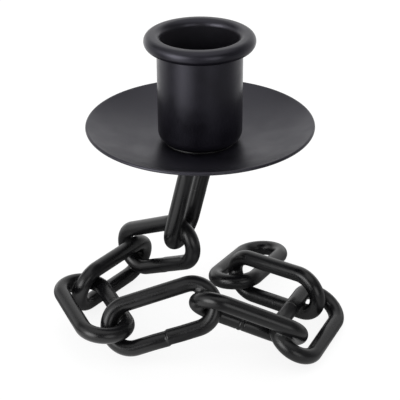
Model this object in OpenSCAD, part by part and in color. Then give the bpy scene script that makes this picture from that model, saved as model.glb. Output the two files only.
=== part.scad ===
// Candlestick: a rolled-rim candle cup on a dished drip pan, carried by nine links of
// steel chain that are welded into a rigid, free-standing heap.

/* [Candle cup] */
// Diameter of the candle that the cup takes
candle_d = 22; // [19:0.5:25]
// Play round the candle, on the diameter
candle_play = 0.6; // [0.2:0.1:1]
// Thickness of the cup's sheet
cup_wall = 1.2; // [0.9:0.1:1.5]
// Height of the cup, from the pan to the top of its rolled rim
cup_height = 33.1; // [26:0.1:45]
// Outer radius of the cup's lower corner
cup_corner_r = 3.5; // [2.5:0.1:4.5]
// Width of the rolled rim, measured outwards from the bore
roll_width = 4.9; // [4.5:0.1:6]
// Height of the rolled rim
roll_height = 4.2; // [4:0.1:4.5]
// Slit between the rolled edge and the cup's wall
roll_slit = 0.4; // [0.2:0.1:0.6]

/* [Drip pan] */
// Outer diameter of the drip pan
pan_d = 67.8; // [60:0.1:80]
// Thickness of the pan's sheet
pan_sheet = 1; // [0.6:0.1:1.6]
// Height of the pan's rim above its flat middle
pan_dish = 5.5; // [3:0.1:8]
// Width of the pan's flat middle that shows past the cup's flat base
pan_flat_margin = 1.5; // [0.5:0.1:3]

/* [Chain] */
// Diameter of the link wire
wire_d = 4.8; // [4:0.1:5]
// Length of the opening inside a link
link_inner_length = 28.1; // [26:0.1:32]
// Width of the opening inside a link
link_inner_width = 8.6; // [8:0.1:10]
// Width of the closed butt seam in the middle of one long side of a link
seam_width = 0.6; // [0.3:0.1:1]
// Depth of the butt seam
seam_depth = 0.15; // [0.05:0.01:0.3]

/* [Welds] */
// Root gap between two welded pieces
weld_gap = 0.2; // [0.15:0.01:0.3]
// Radius of the bead that joins two links
link_bead_r = 2; // [1.8:0.1:2.3]
// Radius of the bead that joins the top link to the pan
stem_bead_r = 2.7; // [2.4:0.1:3.2]
// Height under the cup's corner at which its braze begins
braze_root = 0.1; // [0.08:0.01:0.15]
// Reach of the braze past the cup's flat base
braze_reach = 1.6; // [1.2:0.1:2]

/* [Hidden] */
$fn = 96;

// Overrun of a cutting body past the surface that it cuts
overrun = 0.5;

// Lie of each link from the pan down and round the heap, as angles: the turn about its own
// length, the dip of its length below level and the heading of its length
lie_angles = [
    [-165, 77, 168],
    [89, 27, 136],
    [-105, -1, -125],
    [-5, 0, -67],
    [-122, -19, 2],
    [-44, 25, 3],
    [31, 3, 66],
    [87, 6, 138],
    [172, 8, 64]
];
// Place of the weld between each link and the next, as shares of a half turn from the tip of
// the first link's leading crown and of the next link's trailing crown
join_shares = [
    [-0.34, 0.2],
    [-0.2, 0.18],
    [-0.05, -0.05],
    [0.58, -0.29],
    [-0.12, 0.11],
    [-0.52, 0.23],
    [0.56, -0.56],
    [-0.11, 0.16]
];
// Side of each link, along its crown's and the next crown's common normal, where the next lies
join_sides = [1, -1, -1, 1, -1, -1, -1, -1];
// Links whose butt seam is in their second long side
seam_in_second_side = [false, true, false, false, false, false, false, true, false];

// Cup sizes that follow
bore_r = (candle_d + candle_play) / 2;
cup_r = bore_r + cup_wall;
cup_flat_r = cup_r - cup_corner_r;
roll_r = roll_height / 2;
roll_spread = (roll_width - roll_height) / 2;
roll_centre_r = bore_r + roll_width / 2;
roll_hollow_r = roll_r - cup_wall;
roll_centre_z = cup_height - roll_r;

// Pan sizes that follow, with the pan's bowl as one arc that leaves the flat level
pan_flat_r = cup_flat_r + pan_flat_margin;
pan_edge_r = pan_sheet / 2;
bowl_reach = pan_d / 2 - pan_edge_r - pan_flat_r;
bowl_r = (bowl_reach * bowl_reach + pan_dish * pan_dish) / (2 * pan_dish);
bowl_angle = asin(bowl_reach / bowl_r);

// Link sizes that follow
wire_r = wire_d / 2;
crown_r = (link_inner_width + wire_d) / 2;
half_side = (link_inner_length - link_inner_width) / 2;
link_count = len(lie_angles);

// A vector turned about X, then Y, then Z, as rotate() turns a body
function turn_x(v, a) = [v.x, v.y * cos(a) - v.z * sin(a), v.y * sin(a) + v.z * cos(a)];
function turn_y(v, a) = [v.x * cos(a) + v.z * sin(a), v.y, v.z * cos(a) - v.x * sin(a)];
function turn_z(v, a) = [v.x * cos(a) - v.y * sin(a), v.x * sin(a) + v.y * cos(a), v.z];
function turned(v, lie) = turn_z(turn_y(turn_x(v, lie.x), lie.y), lie.z);
function unit(v) = v / norm(v);

// Places and directions on a link's own centre line, round its leading and trailing crowns
function lead_point(a) = [half_side + crown_r * cos(a), crown_r * sin(a), 0];
function lead_way(a) = [-sin(a), cos(a), 0];
function trail_point(a) = [-half_side - crown_r * cos(a), crown_r * sin(a), 0];
function trail_way(a) = [sin(a), cos(a), 0];

// Long and cross directions of link i, as it lies
function long_way(i) = turned([1, 0, 0], lie_angles[i]);
function cross_way(i) = turned([0, 1, 0], lie_angles[i]);

// Farthest reach of link i's surface from its centre along the direction k
function crown_share(i, k) = norm([long_way(i) * k, cross_way(i) * k]);
function link_span(i, k) = half_side * abs(long_way(i) * k) + crown_r * crown_share(i, k) + wire_r;

// Highest point of link i's centre line, from the link's centre
function top_point(i) =
    let (l = long_way(i), c = cross_way(i))
    sign(l.z) * half_side * l + crown_r * (l.z * l + c.z * c) / norm([l.z, c.z]);

// Angles of the weld between link i and the next, on their leading and trailing crowns
half_turn = 180;
function lead_angle(i) = half_turn * join_shares[i][0];
function trail_angle(i) = half_turn * join_shares[i][1];

// Direction from link i's wire to the next link's wire, where the two are welded
function join_way(i) =
    let (here = turned(lead_way(lead_angle(i)), lie_angles[i]))
    let (there = turned(trail_way(trail_angle(i)), lie_angles[i + 1]))
    join_sides[i] * unit(cross(here, there));

// Step from link i's centre to the place on its centre line under the weld
function join_start(i) = turned(lead_point(lead_angle(i)), lie_angles[i]);
// Step from link i's centre to the next link's centre
function join_step(i) =
    join_start(i) + join_way(i) * (wire_d + weld_gap)
    - turned(trail_point(trail_angle(i)), lie_angles[i + 1]);

// Centre of each link, with the cup's axis at X and Y zero and the pan's flat top at Z zero
first_centre = [0, 0, -pan_sheet - weld_gap - wire_r] - top_point(0);
function chain_centres(i) =
    i == 0 ? [first_centre]
    : let (above = chain_centres(i - 1)) concat(above, [above[i - 1] + join_step(i - 1)]);
link_centres = chain_centres(link_count - 1);

// Limits of the whole candlestick, which set its origin under its middle
function chain_limit(k) = max([for (i = [0:link_count - 1]) link_centres[i] * k + link_span(i, k)]);
right_limit = max(pan_d / 2, chain_limit([1, 0, 0]));
left_limit = -max(pan_d / 2, chain_limit([-1, 0, 0]));
back_limit = max(pan_d / 2, chain_limit([0, 1, 0]));
front_limit = -max(pan_d / 2, chain_limit([0, -1, 0]));
pan_height = chain_limit([0, 0, -1]);
cup_place = [-(right_limit + left_limit) / 2, -(back_limit + front_limit) / 2, pan_height];

// Section of a straight-walled cup with a rounded lower corner
module cup_section(r, corner_r, height) {
    square([r - corner_r, height]);
    translate([r - corner_r, corner_r]) circle(corner_r);
    translate([0, corner_r]) square([r, height - corner_r]);
}

// Round-ended section of the rolled rim or of the hollow inside it
module roll_section(r) {
    translate([-roll_spread, 0]) circle(r);
    translate([roll_spread, 0]) circle(r);
    translate([-roll_spread, -r]) square([2 * roll_spread, 2 * r]);
}

// Rolled rim, open along the slit where the sheet's edge comes back to the wall
module roll_profile() {
    difference() {
        translate([roll_centre_r, roll_centre_z]) roll_section(roll_r);
        translate([roll_centre_r, roll_centre_z]) roll_section(roll_hollow_r);
        translate([cup_r, roll_centre_z - roll_r - overrun])
            square([roll_slit, roll_r + overrun]);
    }
}

module candle_cup() {
    color("#1b1c1f")
    translate(cup_place)
    rotate_extrude() {
        difference() {
            cup_section(cup_r, cup_corner_r, roll_centre_z);
            translate([0, cup_wall]) cup_section(bore_r, cup_corner_r - cup_wall, cup_height);
        }
        roll_profile();
    }
}

// Bowl of the pan: a band round the arc's centre, cut off square to the sheet at the rim
module bowl_profile() {
    wedge_r = (bowl_r + pan_sheet) / cos(bowl_angle);
    translate([pan_flat_r, bowl_r - pan_edge_r])
    intersection() {
        difference() {
            circle(bowl_r + pan_edge_r, $fn = 720);
            circle(bowl_r - pan_edge_r, $fn = 720);
        }
        polygon([[0, 0], [0, -wedge_r], wedge_r * [sin(bowl_angle), -cos(bowl_angle)]]);
    }
}

module drip_pan() {
    color("#26282c")
    translate(cup_place)
    rotate_extrude() {
        translate([0, -pan_sheet]) square([pan_flat_r, pan_sheet]);
        bowl_profile();
        translate([pan_d / 2 - pan_edge_r, pan_dish - pan_edge_r]) circle(pan_edge_r, $fn = 32);
    }
}

// Braze that fills the wedge between the cup's rounded corner and the pan
module cup_braze() {
    start_r = cup_flat_r + sqrt(braze_root * (2 * cup_corner_r - braze_root));
    end_r = cup_flat_r + braze_reach;
    color("#18191b")
    translate(cup_place)
    rotate_extrude() {
        difference() {
            translate([start_r, -pan_edge_r]) square([end_r - start_r, cup_corner_r]);
            translate([cup_flat_r, cup_corner_r]) circle(cup_corner_r);
            translate([0, -pan_sheet]) square([pan_flat_r, pan_sheet]);
            bowl_profile();
        }
    }
}

// Round crown at one end of a link
module crown() {
    rotate([0, 0, -90])
    rotate_extrude(angle = 180)
    translate([crown_r, 0])
    circle(wire_r, $fn = 48);
}

// Round bar along a link's length
module bar(length, r) {
    rotate([0, 90, 0]) cylinder(h = length, r = r, center = true, $fn = 48);
}

// Core of a straight side, which shows as the neck in its seam and runs into both crowns
module side_core() {
    bar(2 * (half_side + seam_depth), wire_r - seam_depth);
}

module plain_side() {
    bar(2 * half_side, wire_r);
    side_core();
}

module seamed_side() {
    run = half_side - seam_width / 2;
    for (way = [-1, 1]) {
        translate([way * (run + seam_width) / 2, 0, 0]) bar(run, wire_r);
    }
    side_core();
}

module bare_link(second_side) {
    seam_way = second_side ? -1 : 1;
    translate([half_side, 0, 0]) crown();
    translate([-half_side, 0, 0]) mirror([1, 0, 0]) crown();
    translate([0, seam_way * crown_r, 0]) seamed_side();
    translate([0, -seam_way * crown_r, 0]) plain_side();
}

// Link i where it lies
module laid_link(i) {
    translate(cup_place + link_centres[i])
        rotate(lie_angles[i])
        bare_link(seam_in_second_side[i]);
}

module chain_link(i) {
    color("#202221") laid_link(i);
}

// Bead between link i and the next, centred in the root gap
module link_weld(i) {
    bead_place = cup_place + link_centres[i] + join_start(i) + join_way(i) * (wire_r + weld_gap / 2);
    color("#191a1a")
    difference() {
        translate(bead_place) rotate(lie_angles[i]) sphere(link_bead_r, $fn = 48);
        laid_link(i);
        laid_link(i + 1);
    }
}

// Bead between the top link's crown and the underside of the pan
module stem_weld() {
    color("#191a1a")
    difference() {
        translate(cup_place + [0, 0, -pan_sheet - weld_gap]) sphere(stem_bead_r, $fn = 48);
        translate(cup_place + [-stem_bead_r, -stem_bead_r, -pan_sheet])
            cube([2 * stem_bead_r, 2 * stem_bead_r, stem_bead_r + overrun]);
        laid_link(0);
    }
}

candle_cup();
drip_pan();
cup_braze();
stem_weld();
for (i = [0:link_count - 1]) {
    chain_link(i);
}
for (i = [0:link_count - 2]) {
    link_weld(i);
}
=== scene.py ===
"""Looks of a black candlestick: a rolled-rim cup and a dished pan on a foot of welded chain."""

import logging
import math
from collections.abc import Callable
from dataclasses import dataclass, field
from enum import Enum

import bpy
import numpy as np
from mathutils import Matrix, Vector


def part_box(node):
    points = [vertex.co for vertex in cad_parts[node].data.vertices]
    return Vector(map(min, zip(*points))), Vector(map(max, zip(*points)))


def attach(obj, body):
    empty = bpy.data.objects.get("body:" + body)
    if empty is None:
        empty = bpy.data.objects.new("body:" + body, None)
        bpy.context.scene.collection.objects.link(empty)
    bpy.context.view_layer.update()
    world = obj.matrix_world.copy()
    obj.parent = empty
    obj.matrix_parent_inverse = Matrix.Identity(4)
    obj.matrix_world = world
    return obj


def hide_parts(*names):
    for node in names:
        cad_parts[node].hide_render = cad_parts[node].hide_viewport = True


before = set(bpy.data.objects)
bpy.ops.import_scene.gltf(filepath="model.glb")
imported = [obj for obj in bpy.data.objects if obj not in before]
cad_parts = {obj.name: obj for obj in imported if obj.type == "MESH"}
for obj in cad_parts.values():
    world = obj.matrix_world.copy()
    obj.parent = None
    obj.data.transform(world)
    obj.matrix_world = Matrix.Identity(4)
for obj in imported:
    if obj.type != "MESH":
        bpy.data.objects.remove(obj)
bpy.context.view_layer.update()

LOG = logging.getLogger("candlestick")
ROOT = "root"
MM = 0.001

# Sizes that more than one piece needs, in millimetres. A link's centre line is two straight
# sides joined by half circles, and LINK_WAY is its whole length.
WIRE_R = 2.4
CROWN_R = 6.7
HALF_SIDE = 9.75
CROWN_WAY = math.pi * CROWN_R
LINK_WAY = 4 * HALF_SIDE + 2 * CROWN_WAY
ROOT_GAP = 0.2
PAN_SHEET = 1.0

# The powder's refractive index, and the cool tint of what the cup and the pan mirror.
COAT_IOR = 1.5
COOL = (0.87, 0.85, 1.0)

# Distance of places from a surface, negative inside the metal.
Depth = Callable[[np.ndarray], np.ndarray]


def box_middle(node: str) -> np.ndarray:
    """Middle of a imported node's box.

    Args:
        node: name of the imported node.

    Returns:
        The place in metres, as an array of three numbers.
    """
    low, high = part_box(node)
    return (np.array(low) + np.array(high)) / 2


def line(start: tuple[float, float], end: tuple[float, float], steps: int) -> np.ndarray:
    """Points along a straight stretch of a section, without its end point.

    Args:
        start: first point, as radius and height.
        end: point after the last one.
        steps: number of points.

    Returns:
        An array of steps rows of two.
    """
    share = np.arange(steps)[:, None] / steps
    return np.array(start) + share * (np.array(end) - np.array(start))


def arc(centre: tuple[float, float], radius: float, start: float, end: float,
        steps: int) -> np.ndarray:
    """Points along a round stretch of a section, without its end point.

    Args:
        centre: middle of the arc, as radius and height.
        radius: radius of the arc.
        start: angle of the first point in degrees, from the outward direction.
        end: angle after the last point in degrees.
        steps: number of points.

    Returns:
        An array of steps rows of two.
    """
    angle = np.radians(start + (end - start) * np.arange(steps) / steps)
    return np.array(centre) + radius * np.stack([np.cos(angle), np.sin(angle)], axis=1)


def turn_matrix(lie: tuple[float, float, float]) -> np.ndarray:
    """Matrix of a turn about X, then Y, then Z.

    Args:
        lie: the three turns in degrees.

    Returns:
        A 3 by 3 array whose columns are the turned axes.
    """
    x, y, z = np.radians(lie)
    about_x = np.array([[1, 0, 0], [0, np.cos(x), -np.sin(x)], [0, np.sin(x), np.cos(x)]])
    about_y = np.array([[np.cos(y), 0, np.sin(y)], [0, 1, 0], [-np.sin(y), 0, np.cos(y)]])
    about_z = np.array([[np.cos(z), -np.sin(z), 0], [np.sin(z), np.cos(z), 0], [0, 0, 1]])
    return about_z @ about_y @ about_x


def waves(angle: np.ndarray, seed: int, first: int, last: int) -> np.ndarray:
    """Gentle unevenness round a circle, between about -1 and 1.

    It is a sum of cosines with whole numbers of waves from first to last, each with its own
    seeded phase, and each weaker than the one before by the square root of its number.

    Args:
        angle: angles in radians, of any shape.
        seed: number that picks the phases.
        first: smallest number of waves round the circle.
        last: largest number of waves round the circle.

    Returns:
        An array of the angles' shape.
    """
    count = np.arange(first, last + 1)
    phase = np.random.default_rng(seed).uniform(0, 2 * np.pi, len(count))
    weight = 1 / np.sqrt(count)
    parts = weight * np.cos(count * angle[..., None] + phase)
    return parts.sum(axis=-1) / np.sqrt((weight ** 2).sum() / 2) / 2


def surface(name: str, grid: np.ndarray, closed_rows: bool,
            poles: tuple[np.ndarray, ...] = ()) -> bpy.types.Object:
    """Makes a smooth closed mesh from a grid of points.

    Each cell between neighbouring rows and columns is one four-cornered face. Columns always
    run round and meet. Rows meet as well if closed_rows is true, and otherwise each end is
    closed by a fan to a pole.

    Args:
        name: name of the object.
        grid: points in metres, as rows by columns by three.
        closed_rows: whether the last row joins the first.
        poles: the points past the first and the last row, where rows don't join.

    Returns:
        The new object.
    """
    rows, columns = grid.shape[:2]
    index = np.arange(rows * columns).reshape(rows, columns)
    here = index if closed_rows else index[:-1]
    above = np.roll(index, -1, axis=0) if closed_rows else index[1:]
    cells = np.stack([here, np.roll(here, -1, axis=1), np.roll(above, -1, axis=1), above], axis=-1)
    points = grid.reshape(-1, 3)
    faces = cells.reshape(-1, 4).tolist()
    if not closed_rows:
        first, last = len(points), len(points) + 1
        points = np.concatenate([points, np.array(poles)])
        bottom, top = index[0], index[-1]
        fan = np.full(columns, first)
        faces += np.stack([fan, np.roll(bottom, -1), bottom], axis=1).tolist()
        fan = np.full(columns, last)
        faces += np.stack([fan, top, np.roll(top, -1)], axis=1).tolist()
    mesh = bpy.data.meshes.new(name)
    mesh.from_pydata(points.tolist(), [], faces)
    mesh.polygons.foreach_set("use_smooth", np.ones(len(mesh.polygons), dtype=bool))
    mesh.update()
    made = bpy.data.objects.new(name, mesh)
    bpy.context.scene.collection.objects.link(made)
    return made


def round_points(radius: np.ndarray, angle: np.ndarray, height: np.ndarray) -> np.ndarray:
    """Points round the upright axis, of the three arrays' common shape by three."""
    across, along = radius * np.cos(angle), radius * np.sin(angle)
    return np.stack(np.broadcast_arrays(across, along, height), axis=-1)


def circle(columns: int) -> np.ndarray:
    """Evenly spaced angles of a whole turn, in radians."""
    return 2 * np.pi * np.arange(columns) / columns


def revolve(name: str, section: np.ndarray, centre: np.ndarray, columns: int) -> bpy.types.Object:
    """Turns a section about the upright axis through a place.

    A point at radius r and height z goes to r times the cosine and the sine of each column's
    angle, and z. The section's first and last points are on the axis and become the poles.

    Args:
        name: name of the object.
        section: radius and height of each point, in metres, from bottom to top outside.
        centre: the place in metres where radius and height are zero.
        columns: number of points round the axis.

    Returns:
        The new object.
    """
    inner = section[1:-1, :, None]
    grid = round_points(inner[:, 0], circle(columns), inner[:, 1])
    poles = (centre + [0, 0, section[0, 1]], centre + [0, 0, section[-1, 1]])
    return surface(name, grid + centre, False, poles)


def dress(made: bpy.types.Object, coat: bpy.types.Material, node: str) -> None:
    """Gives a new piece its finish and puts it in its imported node's place.

    Args:
        made: the new piece.
        coat: its finish.
        node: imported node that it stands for.
    """
    made.data.materials.append(coat)
    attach(made, ROOT)
    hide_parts(node)
    LOG.info("%s: %d faces", made.name, len(made.data.polygons))


def add_node(tree: bpy.types.NodeTree, kind: str, inputs: dict | None = None,
             **settings: object) -> bpy.types.Node:
    """Adds a shader node and sets it up.

    Args:
        tree: node tree that gets the node.
        kind: its type, without the leading ShaderNode.
        inputs: what its inputs get, by name or number: a socket to link, or a constant.
        **settings: its own settings, which come first because they choose its sockets.

    Returns:
        The node.
    """
    node = tree.nodes.new(f"ShaderNode{kind}")
    for name, setting in settings.items():
        setattr(node, name, setting)
    for key, value in (inputs or {}).items():
        if isinstance(value, bpy.types.NodeSocket):
            tree.links.new(value, node.inputs[key])
        else:
            node.inputs[key].default_value = value
    return node


def add_ramp(tree: bpy.types.NodeTree, value: bpy.types.NodeSocket, start: float, end: float,
             low: float = 0.0, high: float = 1.0) -> bpy.types.NodeSocket:
    """Adds a smooth step of a value.

    Args:
        tree: node tree that gets the node.
        value: the value.
        start: value at which the step begins.
        end: value at which it ends.
        low: level before the step.
        high: level after it.

    Returns:
        The socket that gives the level.
    """
    ends = {"Value": value, "From Min": start, "From Max": end, "To Min": low, "To Max": high}
    return add_node(tree, "MapRange", ends, interpolation_type="SMOOTHSTEP").outputs["Result"]


@dataclass(frozen=True)
class NoiseLayer:
    """Noise of one of the group's sizes times a factor, with its detail and roughness."""

    size: str
    factor: float
    detail: float
    rough: float


GRAIN = NoiseLayer("Grain Size", 1.0, 2.5, 0.55)
PEEL = NoiseLayer("Grain Size", 0.28, 1.0, 0.5)
FLECK = NoiseLayer("Grain Size", 0.5, 4.0, 0.7)
CLOUD = NoiseLayer("Cloud Size", 1.0, 3.0, 0.55)
PEEL_SHARE = 0.45
CLOUD_RAMP = (0.3, 0.7)
SPECK_RAMP = (0.62, 0.74)


def powder_group() -> bpy.types.ShaderNodeTree:
    """Shader node group for baked powder: grain, cloudy drift and settled dust.

    Its inputs are the place on the piece, the size of the grain and of the clouds in
    millimetres, and the seed. Its outputs are the grain's height, the cloud mask and a sparse
    speck mask, each from 0 to 1.

    Returns:
        The group, made at the first call and found again at later ones.
    """
    name = "powder_coat_texture"
    if name in bpy.data.node_groups:
        return bpy.data.node_groups[name]
    group = bpy.data.node_groups.new(name, "ShaderNodeTree")
    sockets = group.interface
    sockets.new_socket("Place", in_out="INPUT", socket_type="NodeSocketVector")
    for label in ("Grain Size", "Cloud Size", "Seed"):
        sockets.new_socket(label, in_out="INPUT", socket_type="NodeSocketFloat")
    for label in ("Height", "Cloud", "Speck"):
        sockets.new_socket(label, in_out="OUTPUT", socket_type="NodeSocketFloat")
    start, end = group.nodes.new("NodeGroupInput"), group.nodes.new("NodeGroupOutput")
    place = {0: start.outputs["Place"], "Scale": 1 / MM}
    in_mm = add_node(group, "VectorMath", place, operation="SCALE").outputs["Vector"]

    def noise(layer: NoiseLayer) -> bpy.types.NodeSocket:
        """Adds a layer of noise in four dimensions, with the seed as the last.

        Args:
            layer: the layer's look.

        Returns:
            The socket that gives the noise.
        """
        ratio = {0: layer.factor, 1: start.outputs[layer.size]}
        scale = add_node(group, "Math", ratio, operation="DIVIDE").outputs["Value"]
        look = {"Vector": in_mm, "W": start.outputs["Seed"], "Scale": scale,
                "Detail": layer.detail, "Roughness": layer.rough}
        return add_node(group, "TexNoise", look, noise_dimensions="4D").outputs["Fac"]

    both = {"Factor": PEEL_SHARE, "A": noise(GRAIN), "B": noise(PEEL)}
    height = add_node(group, "Mix", both, data_type="FLOAT").outputs["Result"]
    group.links.new(height, end.inputs["Height"])
    group.links.new(add_ramp(group, noise(CLOUD), *CLOUD_RAMP), end.inputs["Cloud"])
    group.links.new(add_ramp(group, noise(FLECK), *SPECK_RAMP), end.inputs["Speck"])
    return group


@dataclass(frozen=True)
class PaintedBoreLight:
    """Painted light: colour painted paler inside an upright round bore, most at its mouth,
    standing in for light that reaches into it, with painted shade deeper down.

    The foot is a place on the bore's axis, in metres, and the other sizes are in millimetres.
    The painted light begins at the height low over the foot and is full at the height high.
    """

    foot: tuple[float, float, float]
    radius: float
    low: float
    high: float
    colour: tuple[float, float, float]
    edge: float = 0.6

    def mask(self, tree: bpy.types.NodeTree, place: bpy.types.NodeSocket) -> bpy.types.NodeSocket:
        """Mask of the painted light in the bore, from the distance to the axis and the height.

        Args:
            tree: the material's nodes.
            place: the place on the piece.

        Returns:
            A value from 0 outside the bore and at its low end to 1 at its mouth.
        """
        offset = {0: place, 1: self.foot}
        offset = add_node(tree, "VectorMath", offset, operation="SUBTRACT").outputs["Vector"]
        level = {0: offset, 1: (1.0, 1.0, 0.0)}
        level = add_node(tree, "VectorMath", level, operation="MULTIPLY").outputs["Vector"]
        reach = add_node(tree, "VectorMath", {0: level}, operation="LENGTH").outputs["Value"]
        height = add_node(tree, "SeparateXYZ", {0: offset}).outputs["Z"]
        inside = add_ramp(tree, reach, (self.radius + self.edge) * MM, self.radius * MM)
        mouth_light = add_ramp(tree, height, self.low * MM, self.high * MM)
        both = {0: inside, 1: mouth_light}
        return add_node(tree, "Math", both, operation="MULTIPLY").outputs["Value"]


@dataclass(frozen=True)
class PowderCoat:
    """Satin black powder coat over steel.

    Its fine grain is a bump. Its colour and roughness drift a little from cloud to cloud, and
    a few specks of dust lie a little paler and duller on it. Inside a bore, light can be
    painted on as a paler colour towards the mouth.
    """

    name: str
    colour: tuple[float, float, float]
    roughness: float
    seed: float
    grain_size: float = 0.32
    grain_depth: float = 0.010
    cloud_size: float = 8.0
    colour_drift: float = 0.35
    roughness_drift: float = 0.05
    speck_gain: float = 1.8
    specular_level: float = 0.5
    specular_tint: tuple[float, float, float] = (1.0, 1.0, 1.0)
    # Painted light inside a bore, if any: paler near the mouth, painted shade deeper in.
    painted_bore_light: PaintedBoreLight | None = None

    def tone(self, factor: float) -> tuple[float, float, float, float]:
        """The colour times a factor, as a socket value."""
        return tuple(channel * factor for channel in self.colour) + (1.0,)

    def mix(self, tree: bpy.types.NodeTree, mask: bpy.types.NodeSocket, below: object,
            above: object) -> bpy.types.NodeSocket:
        """Mix of two colours, each a socket or a constant, by a mask."""
        parts = {"Factor": mask, "A": below, "B": above}
        return add_node(tree, "Mix", parts, data_type="RGBA").outputs["Result"]

    def material(self) -> bpy.types.Material:
        """Builds the finish as a material.

        Returns:
            The material.
        """
        made = bpy.data.materials.new(self.name)
        made.use_nodes = True
        tree = made.node_tree
        tree.nodes.clear()
        place = add_node(tree, "TexCoord").outputs["Object"]
        texture = add_node(tree, "Group", {
            "Place": place,
            "Grain Size": self.grain_size,
            "Cloud Size": self.cloud_size,
            "Seed": self.seed,
        }, node_tree=powder_group()).outputs
        base = self.mix(tree, texture["Cloud"], self.tone(1 - self.colour_drift),
                        self.tone(1 + self.colour_drift))
        base = self.mix(tree, texture["Speck"], base, self.tone(self.speck_gain))
        # Painted light: the bore's colour is mixed paler towards its mouth.
        if self.painted_bore_light is not None:
            mask = self.painted_bore_light.mask(tree, place)
            base = self.mix(tree, mask, base, (*self.painted_bore_light.colour, 1.0))
        sheen = add_node(tree, "MapRange", {
            "Value": texture["Cloud"],
            "To Min": self.roughness - self.roughness_drift,
            "To Max": self.roughness + self.roughness_drift,
        })
        grain = {"Height": texture["Height"], "Distance": self.grain_depth * MM, "Strength": 1.0}
        shader = add_node(tree, "BsdfPrincipled", {
            "Base Color": base,
            "Roughness": sheen.outputs["Result"],
            "Normal": add_node(tree, "Bump", grain).outputs["Normal"],
            "IOR": COAT_IOR,
            "Specular IOR Level": self.specular_level,
            "Specular Tint": (*self.specular_tint, 1.0),
        })
        add_node(tree, "OutputMaterial", {"Surface": shader.outputs["BSDF"]})
        return made


@dataclass
class Cup:
    """Candle cup: one sheet from the middle of its floor up the wall and over into a roll."""

    bore_r: float = 11.3
    wall: float = 1.2
    height: float = 33.1
    corner_r: float = 3.5
    roll_width: float = 4.9
    roll_height: float = 4.2
    slit: float = 0.4
    columns: int = 256

    def place(self) -> np.ndarray:
        """Middle of the cup's underside, in metres."""
        middle = box_middle("candle_cup")
        return np.array([middle[0], middle[1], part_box("candle_cup")[0][2]])

    def section(self) -> np.ndarray:
        """Outline of the sheet, from the axis under the floor round to the axis above it.

        Straight stretches and arcs follow one another: floor, lower corner, wall, slit,
        hollow of the roll, outside of the roll, bore, inner corner and inner floor.

        Returns:
            Radius and height of each point, in millimetres.
        """
        outer_r = self.bore_r + self.wall
        flat_r = outer_r - self.corner_r
        roll_r = self.roll_height / 2
        spread = (self.roll_width - self.roll_height) / 2
        roll_x = self.bore_r + self.roll_width / 2
        roll_z = self.height - roll_r
        hollow_r = roll_r - self.wall
        slit_x = outer_r + self.slit
        lip_drop = math.degrees(math.acos((roll_x - spread - slit_x) / roll_r))
        hollow_drop = math.degrees(math.acos((roll_x - spread - slit_x) / hollow_r))
        lip_z = roll_z - roll_r * math.sin(math.radians(lip_drop))
        hollow_z = roll_z - hollow_r * math.sin(math.radians(hollow_drop))
        left, right = (roll_x - spread, roll_z), (roll_x + spread, roll_z)
        inner_corner = self.corner_r - self.wall
        stretches = [
            line((0, 0), (flat_r, 0), steps=8),
            arc((flat_r, self.corner_r), self.corner_r, -90, 0, steps=20),
            line((outer_r, self.corner_r), (outer_r, roll_z), steps=40),
            arc(left, hollow_r, 180, 90, steps=8),
            arc(right, hollow_r, 90, -90, steps=12),
            arc(left, hollow_r, -90, -180 + hollow_drop, steps=6),
            line((slit_x, hollow_z), (slit_x, lip_z), steps=4),
            arc(left, roll_r, -180 + lip_drop, -90, steps=12),
            arc(right, roll_r, -90, 90, steps=40),
            arc(left, roll_r, 90, 180, steps=24),
            line((self.bore_r, roll_z), (self.bore_r, self.corner_r), steps=40),
            arc((flat_r, self.corner_r), inner_corner, 0, -90, steps=12),
            line((flat_r, self.wall), (0, self.wall), steps=8),
            np.array([[0, self.wall]]),
        ]
        return np.concatenate(stretches)

    def build(self, coat: bpy.types.Material) -> None:
        """Makes the cup and dresses it.

        Args:
            coat: the cup's finish.
        """
        made = revolve("candle_cup_sheet", self.section() * MM, self.place(), self.columns)
        dress(made, coat, "candle_cup")


@dataclass
class Pan:
    """Drip pan: a thin round sheet with a level middle and one shallow bowl arc to its rim."""

    outer_r: float = 33.9
    sheet: float = PAN_SHEET
    dish: float = 5.5
    flat_r: float = 10.5
    columns: int = 320

    def place(self) -> np.ndarray:
        """Middle of the pan's flat top, in metres."""
        middle = box_middle("drip_pan")
        return np.array([middle[0], middle[1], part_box("drip_pan")[0][2] + self.sheet * MM])

    def section(self) -> np.ndarray:
        """Outline of the sheet, from the axis underneath round the rim to the axis on top.

        Returns:
            Radius and height of each point, in millimetres.
        """
        edge_r = self.sheet / 2
        reach = self.outer_r - edge_r - self.flat_r
        bowl_r = (reach ** 2 + self.dish ** 2) / (2 * self.dish)
        rise = math.degrees(math.asin(reach / bowl_r))
        centre = (self.flat_r, bowl_r - edge_r)
        rim = (self.outer_r - edge_r, self.dish - edge_r)
        stretches = [
            line((0, -self.sheet), (self.flat_r, -self.sheet), steps=8),
            arc(centre, bowl_r + edge_r, -90, -90 + rise, steps=48),
            arc(rim, edge_r, -90 + rise, 90 + rise, steps=12),
            arc(centre, bowl_r - edge_r, -90 + rise, -90, steps=48),
            line((self.flat_r, 0), (0, 0), steps=8),
            np.array([[0, 0]]),
        ]
        return np.concatenate(stretches)

    def build(self, coat: bpy.types.Material) -> None:
        """Makes the pan and dresses it.

        Args:
            coat: the pan's finish.
        """
        made = revolve("drip_pan_sheet", self.section() * MM, self.place(), self.columns)
        dress(made, coat, "drip_pan")


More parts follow.
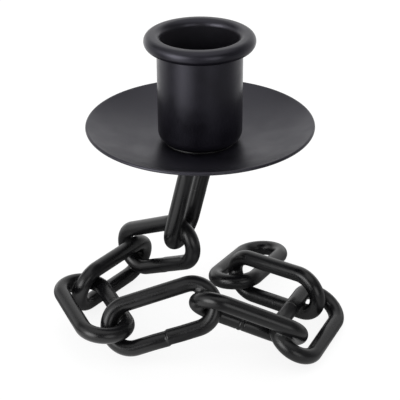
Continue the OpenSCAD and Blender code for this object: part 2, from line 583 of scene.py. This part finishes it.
@dataclass
class Braze:
    """Thin fillet of braze in the wedge between the cup's lower corner and the pan."""

    flat_r: float = 9.0
    corner_r: float = 3.5
    root: float = 0.1
    reach: float = 1.6
    sink: float = 0.25
    ripple: float = 0.06
    toe_ripple: float = 0.08
    lean: float = 0.30
    hollow: float = 1.7
    back_width: tuple[float, float] = (1.0, 1.2)
    back_height: tuple[float, float] = (0.42, 0.05)
    rows: int = 9
    columns: int = 288
    seed: int = 5
    wave_counts: tuple[int, int] = (5, 40)

    def build(self, coat: bpy.types.Material, pan: Pan) -> None:
        """Makes the fillet and dresses it.

        Its face is a hollow curve from the pan up to the cup's corner. A point at a share of
        the way stands at that share, to the power given as hollow, of the height. The reach
        and the height swell and shrink a little round the cup with seeded waves. The back of
        the fillet is sunk into cup and pan.

        Args:
            coat: the fillet's finish.
            pan: the pan that it lies on.
        """
        angle = circle(self.columns)
        swell = 1 + self.ripple * waves(angle, self.seed, *self.wave_counts)
        end_r = self.flat_r + self.reach * (1 - self.toe_ripple + self.toe_ripple * swell)
        lift = 1 - math.sqrt(1 - (self.reach / self.corner_r) ** 2)
        top = self.corner_r * lift * swell
        start_r = self.flat_r + math.sqrt(self.root * (2 * self.corner_r - self.root))
        share = np.linspace(0, 1, self.rows)[:, None]
        face = round_points(end_r - self.lean * share * swell, angle, top * share ** self.hollow)
        (inner, outer), (high, low) = self.back_width, self.back_height
        back_r = np.array([self.flat_r + inner, start_r - self.sink, start_r, self.flat_r + outer])
        back_z = np.array([high, low, -self.sink, -self.sink])
        back = round_points(back_r[:, None], angle, back_z[:, None])
        grid = np.concatenate([face, back]) * MM + pan.place()
        dress(surface("cup_braze_fillet", grid, True), coat, "cup_braze")


class SeamSide(Enum):
    """Long side of a link that holds its butt seam."""

    FIRST = 1
    SECOND = -1


@dataclass(frozen=True)
class Seam:
    """Butt seam of a link, in millimetres.

    The two cut ends miss each other by the step, first in the link's plane and then across
    it. The step turns over within step_half and fades out over step_reach. A groove of the
    given depth lies in the middle, or groove_at from it on each side, and a bead stands there.
    """

    side: SeamSide
    step: tuple[float, float] = (0.04, 0.03)
    step_half: float = 0.08
    step_reach: float = 3.0
    depth: float = 0.06
    groove_at: float = 0.0
    groove_half: float = 0.16
    bead: float = 0.02
    bead_half: float = 0.40


@dataclass
class ChainLink:
    """One link: round wire bent to a long oval, with a butt seam in one long side."""

    number: int
    lie: tuple[float, float, float]
    seam: Seam
    crown_press: float = 0.035
    crown_spread: float = 0.012
    burr: float = 0.5
    burr_waves: tuple[int, int] = (2, 7)
    fine_reach: float = 2.0
    fine_crowding: float = 3.2
    fine_rows: int = 81
    plain_rows: int = 198
    columns: int = 48

    def node(self) -> str:
        """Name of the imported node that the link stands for."""
        return f"chain_link_{self.number}"

    def centre(self) -> np.ndarray:
        """Middle of the link in millimetres, which is the middle of its packed box."""
        return box_middle(self.node()) / MM

    def way(self) -> np.ndarray:
        """Distances along the wire from the seam at which its sections lie.

        Within a short reach of the seam they follow a hyperbolic sine, so that they lie closest
        together at the seam itself, and from there on they are evenly spaced.

        Returns:
            The distances in millimetres, once round the link.
        """
        spread = np.sinh(self.fine_crowding * np.linspace(-1, 1, self.fine_rows))
        fine = self.fine_reach * spread / math.sinh(self.fine_crowding)
        plain = np.linspace(self.fine_reach, LINK_WAY - self.fine_reach, self.plain_rows + 2)
        return np.concatenate([fine % LINK_WAY, plain[1:-1]])

    def centre_line(self) -> tuple[np.ndarray, np.ndarray, np.ndarray]:
        """Centre line of the wire in the link's own plane.

        The line is a stadium: two straight sides joined by half circles. A distance along it
        from the seam falls on one of five stretches, and each stretch has its own formula.

        Returns:
            The points and the outward directions, each as rows of two, in millimetres, and the
            share by which each point lies in a crown: 0 on the straight sides, 1 at its tip.
        """
        side, bend, way = HALF_SIDE, CROWN_WAY, self.way()
        first = (way - side) / CROWN_R
        second = (way - 3 * side - bend) / CROWN_R
        zero, one = np.zeros_like(way), np.ones_like(way)
        ends = (side, side + bend, 3 * side + bend, 3 * side + 2 * bend)
        stretches = [way < end for end in ends]
        right, left = side + CROWN_R * np.sin(first), -side - CROWN_R * np.sin(second)
        x = np.select(stretches, [way, right, 2 * side + bend - way, left], way - LINK_WAY)
        out_x = np.select(stretches, [zero, np.sin(first), zero, -np.sin(second)], zero)
        out_y = np.select(stretches, [one, np.cos(first), -one, -np.cos(second)], one)
        crown = np.select(stretches, [zero, np.sin(first), zero, np.sin(second)], zero)
        points = np.stack([x, CROWN_R * out_y], axis=1)
        return points, np.stack([out_x, out_y], axis=1), crown

    def build(self, coat: bpy.types.Material) -> None:
        """Makes the link where it lies and dresses it.

        A point at an angle round the wire lies at the centre line plus the wire's radius times
        the cosine along the outward direction and the sine along the link's normal. At the
        seam the radius swells to a low bead and dips to a groove in its middle or to one on
        each side, both as bell curves of the distance. Each cut end is bent half of the step
        to its own side, which fades with a bell curve too. In the crowns the wire is pressed a
        little thinner in the link's plane and spreads across it.

        Args:
            coat: the chain's finish.
        """
        points, outward, crown = self.centre_line()
        seam, way, angle = self.seam, self.way(), circle(self.columns)
        gap = np.where(way > LINK_WAY / 2, way - LINK_WAY, way)
        burr = 1 + self.burr * waves(angle, self.number, *self.burr_waves)
        dip = seam.depth * np.exp(-((np.abs(gap) - seam.groove_at) / seam.groove_half) ** 2)
        swell = seam.bead * np.exp(-(gap / seam.bead_half) ** 2)
        radius = WIRE_R - dip[:, None] + swell[:, None] * burr
        bend = np.tanh(gap / seam.step_half) * np.exp(-(gap / seam.step_reach) ** 2) / 2
        thin = 1 - self.crown_press * crown ** 2
        wide = 1 + self.crown_spread * crown ** 2
        across = radius * np.cos(angle) * thin[:, None] + (bend * seam.step[0])[:, None]
        flat = (points[:, None, :] + across[..., None] * outward[:, None, :]) * seam.side.value
        upright = radius * np.sin(angle) * wide[:, None] + (bend * seam.step[1])[:, None]
        grid = np.concatenate([flat, upright[..., None]], axis=-1) @ turn_matrix(self.lie).T
        made = surface(f"{self.node()}_wire", (grid + self.centre()) * MM, True)
        dress(made, coat, self.node())

    def depth(self, places: np.ndarray) -> np.ndarray:
        """Distance of places from the link's surface, negative inside the wire.

        In the link's own axes, the distance from its centre line is that from a stadium of
        the crown's radius, combined with the height over the link's plane.

        Args:
            places: points in millimetres, of shape (..., 3).

        Returns:
            The distances in millimetres.
        """
        local = (places - self.centre()) @ turn_matrix(self.lie)
        past_side = np.maximum(np.abs(local[..., 0]) - HALF_SIDE, 0)
        in_plane = np.hypot(past_side, local[..., 1]) - CROWN_R
        return np.hypot(in_plane, local[..., 2]) - WIRE_R

    def crown_place(self, share: float, leading: bool) -> tuple[np.ndarray, np.ndarray]:
        """Place and direction of the wire's centre line on one of the link's crowns.

        Args:
            share: angle from the crown's tip, as a share of a half turn.
            leading: whether the crown is the one towards the next link.

        Returns:
            The place from the link's centre in millimetres, and the direction of the wire.
        """
        sign, turn = (1 if leading else -1), math.pi * share
        along, across = math.cos(turn), math.sin(turn)
        place = np.array([sign * (HALF_SIDE + CROWN_R * along), CROWN_R * across, 0])
        direction = np.array([-sign * across, along, 0])
        turned = turn_matrix(self.lie)
        return turned @ place, turned @ direction


@dataclass
class WeldBead:
    """Bead of weld that runs out smoothly on to the two surfaces that it joins."""

    fillet: float = 1.7
    cap: float = 3.6
    lid: float = math.inf
    sink: float = 0.012
    ripple: float = 0.10
    ripple_waves: tuple[int, int] = (3, 14)
    rings: int = 72
    columns: int = 112
    steps: int = 90

    def directions(self, axis: np.ndarray) -> np.ndarray:
        """Unit directions on a grid over a sphere whose poles lie on an axis.

        Args:
            axis: direction of the poles.

        Returns:
            An array of rings by columns by three. The first and last ring are the poles.
        """
        helper = np.eye(3)[np.argmin(np.abs(axis))]
        side = np.cross(helper, axis)
        side /= np.linalg.norm(side)
        front = np.cross(axis, side)
        down = (np.pi - np.pi * np.arange(self.rings) / (self.rings - 1))[:, None, None]
        turn = circle(self.columns)[:, None]
        ring = np.cos(turn) * side + np.sin(turn) * front
        return np.sin(down) * ring + np.cos(down) * axis

    def build(self, node: str, middle: np.ndarray, axis: np.ndarray,
              depths: tuple[Depth, Depth], seed: int, coat: bpy.types.Material) -> None:
        """Makes the bead and dresses it.

        From the bead's middle a ray goes out in each direction. Along it the smaller of the
        two distances from the joined surfaces is lowered where they are nearly equal, by the
        fillet's size times the square of their closeness over four, which rounds the inner
        corner. The bead ends where this value turns positive, or at the cap, which is inside
        the metal, and what lies above the lid's height is pressed down to it. Seeded waves
        round the axis make the fillet swell and shrink like the drops of a hand-laid bead.

        Args:
            node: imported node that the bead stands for.
            middle: its middle in millimetres.
            axis: direction from the first surface to the second.
            depths: for each joined surface, its distance as a function of places.
            seed: number that picks the waves.
            coat: the bead's finish.
        """
        way = self.directions(axis)
        reach = self.cap * (np.arange(self.steps) + 1) / self.steps
        places = middle + way[..., None, :] * reach[:, None]
        swell = waves(circle(self.columns), seed, *self.ripple_waves)[None, :, None]
        size = self.fillet * (1 + self.ripple * swell)
        one, other = depths[0](places), depths[1](places)
        closeness = np.maximum(size - np.abs(one - other), 0) / size
        value = np.minimum(one, other) - size * closeness ** 2 / 4 + self.sink
        outside = value > 0
        first = np.where(outside.any(axis=-1), outside.argmax(axis=-1), self.steps - 1)
        index = np.maximum(first, 1)
        after = np.take_along_axis(value, index[..., None], axis=-1)[..., 0]
        before = np.take_along_axis(value, index[..., None] - 1, axis=-1)[..., 0]
        share = np.clip(before / np.where(before == after, 1, before - after), 0, 1)
        length = reach[index - 1] + share * (reach[index] - reach[index - 1])
        grid = (middle + way * length[..., None]) * MM
        grid[..., 2] = np.minimum(grid[..., 2], self.lid * MM)
        made = surface(f"{node}_bead", grid[1:-1], False, (grid[0, 0], grid[-1, 0]))
        dress(made, coat, node)


@dataclass
class Chain:
    """Nine links, each welded to the next, and the weld from the first to the pan.

    The lies are each link's turns about X, Y and Z in degrees, from the pan down. The joins
    place each weld on the crowns of its two links, as shares of a half turn, and the sides
    say which way along the wires' common normal the next link lies.
    """

    lies: tuple[tuple[int, int, int], ...] = (
        (-165, 77, 168),
        (89, 27, 136),
        (-105, -1, -125),
        (-5, 0, -67),
        (-122, -19, 2),
        (-44, 25, 3),
        (31, 3, 66),
        (87, 6, 138),
        (172, 8, 64),
    )
    joins: tuple[tuple[float, float], ...] = (
        (-0.34, 0.20),
        (-0.20, 0.18),
        (-0.05, -0.05),
        (0.58, -0.29),
        (-0.12, 0.11),
        (-0.52, 0.23),
        (0.56, -0.56),
        (-0.11, 0.16),
    )
    sides: tuple[int, ...] = (1, -1, -1, 1, -1, -1, -1, -1)
    seams: tuple[Seam, ...] = (
        Seam(SeamSide.FIRST),
        Seam(SeamSide.SECOND, step=(-0.12, 0.03), step_half=0.25),
        Seam(SeamSide.FIRST),
        Seam(SeamSide.FIRST),
        Seam(SeamSide.FIRST, step=(-0.28, -0.44), step_half=0.26, depth=0.0, bead=0.05,
             bead_half=0.34),
        Seam(SeamSide.FIRST, step=(-0.04, 0.05), depth=0.16, groove_at=0.72, groove_half=0.20,
             bead=0.13),
        Seam(SeamSide.FIRST, step=(0.0, 0.0), depth=0.03, bead=0.0),
        Seam(SeamSide.SECOND),
        Seam(SeamSide.FIRST, step=(-0.05, 0.04)),
    )
    stem_seed: int = 9
    links: list[ChainLink] = field(default_factory=list)

    def build(self, coat: bpy.types.Material, bead_coat: bpy.types.Material) -> None:
        """Makes the links and the beads between them.

        Args:
            coat: the links' finish.
            bead_coat: the beads' finish.
        """
        for number, (lie, seam) in enumerate(zip(self.lies, self.seams), start=1):
            link = ChainLink(number, lie, seam)
            link.build(coat)
            self.links.append(link)
        for number, (join, side) in enumerate(zip(self.joins, self.sides), start=1):
            self.weld(number, join, side, bead_coat)
        self.stem(bead_coat)

    def weld(self, number: int, join: tuple[float, float], side: int,
             coat: bpy.types.Material) -> None:
        """Makes the bead between a link and the next.

        The bead's middle is half-way across the root gap, along the common normal of the two
        wires where they are closest.

        Args:
            number: number of the first of the two links.
            join: the bead's place on the first link's leading crown and on the next one's
                trailing crown, as shares of a half turn.
            side: which way along the common normal the next link lies.
            coat: the bead's finish.
        """
        here, there = self.links[number - 1], self.links[number]
        place, one = here.crown_place(join[0], True)
        _, other = there.crown_place(join[1], False)
        normal = side * np.cross(one, other)
        normal /= np.linalg.norm(normal)
        middle = here.centre() + place + normal * (WIRE_R + ROOT_GAP / 2)
        depths = (here.depth, there.depth)
        WeldBead().build(f"link_weld_{number}", middle, normal, depths, number, coat)

    def stem(self, coat: bpy.types.Material) -> None:
        """Makes the bead between the first link and the pan's underside.

        Args:
            coat: the bead's finish.
        """
        link, under = self.links[0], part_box("drip_pan")[0][2] / MM
        middle = box_middle("candle_cup") / MM
        middle[2] = under - ROOT_GAP / 2
        upward = np.array([0.0, 0.0, 1.0])
        depths = (link.depth, lambda places: under - places[..., 2])
        bead = WeldBead(fillet=2.2, cap=4.2, lid=under + PAN_SHEET / 2)
        bead.build("stem_weld", middle, upward, depths, self.stem_seed, coat)


@dataclass(frozen=True)
class Lobe:
    """Soft patch of light in the room, round a direction; its angles are in degrees.

    The patch is full up to one angle from its middle and gone at another. Azimuth 0 is to the
    right of the photograph, 90 behind the object and 270 at the camera.
    """

    azimuth: float
    elevation: float
    full: float
    fade: float
    strength: float

    def direction(self) -> tuple[float, float, float]:
        """Unit direction of the patch's middle."""
        turn, rise = math.radians(self.azimuth), math.radians(self.elevation)
        return (math.cos(rise) * math.cos(turn), math.cos(rise) * math.sin(turn), math.sin(rise))


ROOM = (
    Lobe(92, 8, 20, 56, 0.78),
    Lobe(36, 2, 12, 40, 0.38),
    Lobe(146, -4, 14, 38, 0.55),
    Lobe(0, 90, 14, 50, 0.74),
    Lobe(223, 15, 6, 28, 4.20),
    Lobe(194, 26, 8, 32, 1.10),
    Lobe(228, -30, 14, 36, 1.15),
    Lobe(296, 12, 6, 24, 1.50),
    Lobe(303, -46, 10, 28, 0.45),
)
ROOM_DIM = 0.12


def room_group() -> bpy.types.NodeTree:
    """Node group for the light that comes from the room along a direction.

    Each patch is a smooth step of the cosine of the angle from its middle. The patches are
    added to the room's own dim level.

    Returns:
        The group, with a Direction input and a Glow output.
    """
    group = bpy.data.node_groups.new("room_glow", "ShaderNodeTree")
    sockets = group.interface
    sockets.new_socket("Direction", in_out="INPUT", socket_type="NodeSocketVector")
    sockets.new_socket("Glow", in_out="OUTPUT", socket_type="NodeSocketFloat")
    start, end = group.nodes.new("NodeGroupInput"), group.nodes.new("NodeGroupOutput")
    unit = {0: start.outputs["Direction"]}
    unit = add_node(group, "VectorMath", unit, operation="NORMALIZE").outputs["Vector"]
    total = ROOM_DIM
    for lobe in ROOM:
        near = {0: unit, 1: lobe.direction()}
        near = add_node(group, "VectorMath", near, operation="DOT_PRODUCT").outputs["Value"]
        fade, full = math.cos(math.radians(lobe.fade)), math.cos(math.radians(lobe.full))
        patch = add_ramp(group, near, fade, full, high=lobe.strength)
        total = add_node(group, "Math", {0: patch, 1: total}, operation="ADD").outputs["Value"]
    group.links.new(total, end.inputs["Glow"])
    return group


@dataclass
class Studio:
    """White floor and surround, a softly lit room and the photograph's camera.

    The camera sees the surround as plain white. Polished surfaces mirror the room instead:
    its dim level and its soft patches, also where they fall on the floor, whose glow is
    lowered near the object as painted shade. All other light on the object is plain.
    """

    photo_px: float = 400.0
    focal_px: float = 1253.1
    distance: float = 382.44
    elevation: float = 27.82
    aim_below_rim: float = 51.60
    rim_centre_drop: float = 2.1
    roll: float = -0.269
    shift: float = -0.146
    sensor: float = 36.0
    clip_start: float = 0.01
    floor_half: float = 3.0
    floor_white: float = 0.86
    floor_albedo: float = 0.20
    floor_seen_from: float = 45.0
    floor_bounce: float = 0.35
    room_white: float = 1.0
    room_fill: float = 1.0
    # Painted shade: the floor's glow keeps this share near the object and is full again between
    # these radii.
    near_share: float = 0.7
    near_r: float = 20.0
    far_r: float = 253.0

    def camera(self) -> None:
        """Sets the camera where the photograph's was."""
        middle = box_middle("candle_cup")
        rim_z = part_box("candle_cup")[1][2] - self.rim_centre_drop * MM
        tilt = math.radians(self.elevation)
        data = bpy.data.cameras.new("photo_camera")
        data.sensor_width = self.sensor
        data.lens = self.sensor * self.focal_px / self.photo_px
        data.clip_start = self.clip_start
        made = bpy.data.objects.new("photo_camera", data)
        back = np.array([0, -math.cos(tilt), math.sin(tilt)]) * self.distance * MM
        aim = np.array([middle[0] + self.shift * MM, middle[1], rim_z - self.aim_below_rim * MM])
        made.location = aim + back
        made.rotation_mode = "ZXY"
        made.rotation_euler = (math.radians(90 - self.elevation), 0, math.radians(self.roll))
        bpy.context.scene.collection.objects.link(made)
        bpy.context.scene.camera = made

    def by_ray(self, tree: bpy.types.NodeTree, glow: bpy.types.NodeSocket, white: float,
               fill: float) -> bpy.types.NodeSocket:
        """Picks a level of light by the kind of ray that sees it.

        Args:
            tree: node tree of the floor or the world.
            glow: level that glossy and transmitted rays see.
            white: level that the camera sees.
            fill: level that diffuse rays see.

        Returns:
            The socket that gives the level.
        """
        ray = add_node(tree, "LightPath").outputs
        shiny = {0: ray["Is Glossy Ray"], 1: ray["Is Transmission Ray"]}
        shiny = add_node(tree, "Math", shiny, operation="MAXIMUM").outputs["Value"]
        other = {"Factor": shiny, "A": fill, "B": glow}
        other = add_node(tree, "Mix", other, data_type="FLOAT").outputs["Result"]
        level = {"Factor": ray["Is Camera Ray"], "A": other, "B": white}
        return add_node(tree, "Mix", level, data_type="FLOAT").outputs["Result"]

    def floor(self, room: bpy.types.NodeTree) -> None:
        """Lays the white floor under the candlestick.

        Its own glow makes it white, and a little plain diffuse white on top of that lets it
        show the object's soft shadow.

        Args:
            room: node group of the room's light.
        """
        low, high = -self.floor_half, self.floor_half
        mesh = bpy.data.meshes.new("floor")
        corners = [(low, low, 0), (high, low, 0), (high, high, 0), (low, high, 0)]
        mesh.from_pydata(corners, [], [(0, 1, 2, 3)])
        made = bpy.data.objects.new("floor", mesh)
        bpy.context.scene.collection.objects.link(made)
        coat = bpy.data.materials.new("floor")
        coat.use_nodes = True
        tree = coat.node_tree
        place = add_node(tree, "TexCoord").outputs["Object"]
        seen = {0: place, 1: (0, 0, self.floor_seen_from * MM)}
        seen = add_node(tree, "VectorMath", seen, operation="SUBTRACT").outputs["Vector"]
        glow = add_node(tree, "Group", {"Direction": seen}, node_tree=room).outputs["Glow"]
        reach = add_node(tree, "VectorMath", {0: place}, operation="LENGTH").outputs["Value"]
        # Painted shade: near the object the floor's glow is lowered, as if the object shadowed it.
        shade = add_ramp(tree, reach, self.near_r * MM, self.far_r * MM, low=self.near_share)
        glow = add_node(tree, "Math", {0: shade, 1: glow}, operation="MULTIPLY").outputs["Value"]
        inputs = tree.nodes["Principled BSDF"].inputs
        inputs["Base Color"].default_value = (*[self.floor_albedo] * 3, 1)
        inputs["Roughness"].default_value = 1.0
        inputs["Specular IOR Level"].default_value = 0.0
        inputs["Emission Color"].default_value = (1, 1, 1, 1)
        level = self.by_ray(tree, glow, self.floor_white, self.floor_bounce)
        tree.links.new(level, inputs["Emission Strength"])
        made.data.materials.append(coat)

    def surround(self, room: bpy.types.NodeTree) -> None:
        """Sets the light that comes from all round.

        Args:
            room: node group of the room's light.
        """
        world = bpy.data.worlds.new("studio")
        world.use_nodes = True
        tree = world.node_tree
        place = add_node(tree, "TexCoord").outputs["Generated"]
        glow = add_node(tree, "Group", {"Direction": place}, node_tree=room).outputs["Glow"]
        inputs = tree.nodes["Background"].inputs
        inputs["Color"].default_value = (1, 1, 1, 1)
        level = self.by_ray(tree, glow, self.room_white, self.room_fill)
        tree.links.new(level, inputs["Strength"])
        bpy.context.scene.world = world

    def build(self) -> None:
        """Sets the camera, the floor and the light."""
        bpy.context.scene.view_settings.view_transform = "Standard"
        self.camera()
        room = room_group()
        self.floor(room)
        self.surround(room)


def finishes(cup: Cup) -> dict[str, bpy.types.Material]:
    """Builds the finishes of all pieces.

    Args:
        cup: the cup, whose bore gets painted light near its mouth.

    Returns:
        The materials, by their slots in the record.
    """
    # Painted light and shade in the cup's bore: paler near the mouth, darker deeper in.
    mouth_light = PaintedBoreLight(
        tuple(cup.place()), radius=cup.bore_r, low=19.0, high=31.5,
        colour=(0.017, 0.0162, 0.0195))
    coats = (
        PowderCoat(
            "cup_coat", colour=(0.0038, 0.0034, 0.0058), roughness=0.33, seed=1.0,
            grain_size=0.55, grain_depth=0.026, specular_level=0.58, specular_tint=COOL,
            painted_bore_light=mouth_light),
        PowderCoat(
            "pan_coat", colour=(0.0040, 0.0036, 0.0060), roughness=0.38, seed=2.0,
            grain_depth=0.008, specular_level=0.80, specular_tint=COOL),
        PowderCoat(
            "chain_coat", colour=(0.0054, 0.0054, 0.0062), roughness=0.28, seed=3.0,
            grain_size=0.42, grain_depth=0.026),
        PowderCoat(
            "weld_coat", colour=(0.0054, 0.0054, 0.0058), roughness=0.34, seed=4.0,
            grain_size=0.5),
    )
    return {coat.name: coat.material() for coat in coats}


def main() -> None:
    """Builds the studio and the candlestick."""
    logging.basicConfig(level=logging.INFO, format="%(message)s")
    Studio().build()
    cup, pan = Cup(), Pan()
    coats = finishes(cup)
    cup.build(coats["cup_coat"])
    pan.build(coats["pan_coat"])
    Braze().build(coats["weld_coat"], pan)
    Chain().build(coats["chain_coat"], coats["weld_coat"])


if __name__ == "__main__":
    main()
